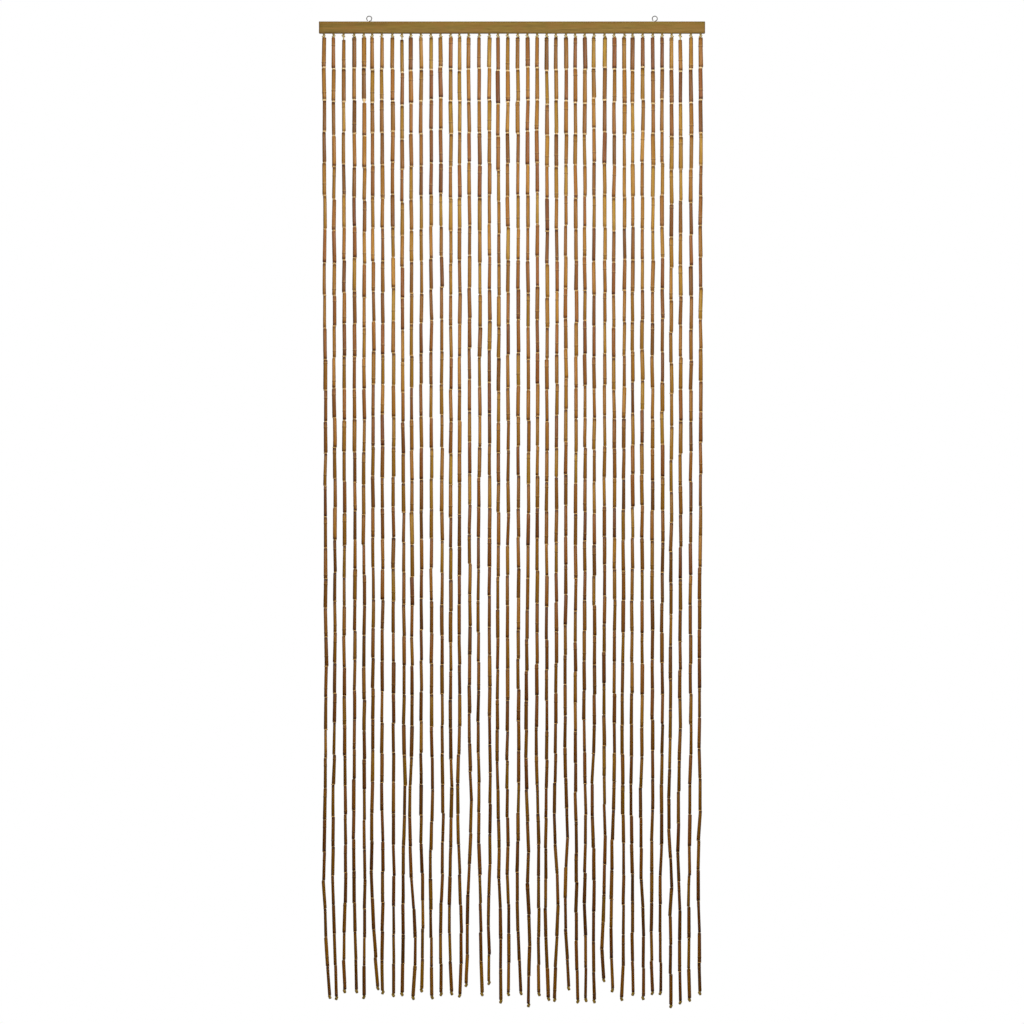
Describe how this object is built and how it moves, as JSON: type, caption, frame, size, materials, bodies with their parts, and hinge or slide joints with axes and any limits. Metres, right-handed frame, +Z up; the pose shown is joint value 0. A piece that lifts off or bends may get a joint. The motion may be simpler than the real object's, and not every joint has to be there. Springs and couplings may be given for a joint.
{
  "type": "bamboo stick string door curtain with its hanging rail",
  "caption": "Doorway curtain of short bamboo sticks strung on cords below a squared wooden rail that hangs by screw eyes.",
  "frame": {"origin": "on the rail's top face, midway between the roots of its two screw eyes", "axes": "+X along the rail to the right as the picture shows it, -Y out of the front of the curtain, +Z up; the strands hang towards -Z"},
  "size_m": [0.8, 0.0141, 2.0576],
  "materials": {
    "rail_wood": "matt stained wood",
    "eye_steel": "dull zinc-plated wire",
    "bamboo": "satin lacquered cane",
    "cord": "twisted plant-fibre cord"
  },
  "bodies": {
    "root": {"rail": "rail_wood", "screw_eye_left": "eye_steel", "screw_eye_right": "eye_steel", "strands_left": "bamboo", "strands_right": "bamboo"}
  },
  "joints": []
}
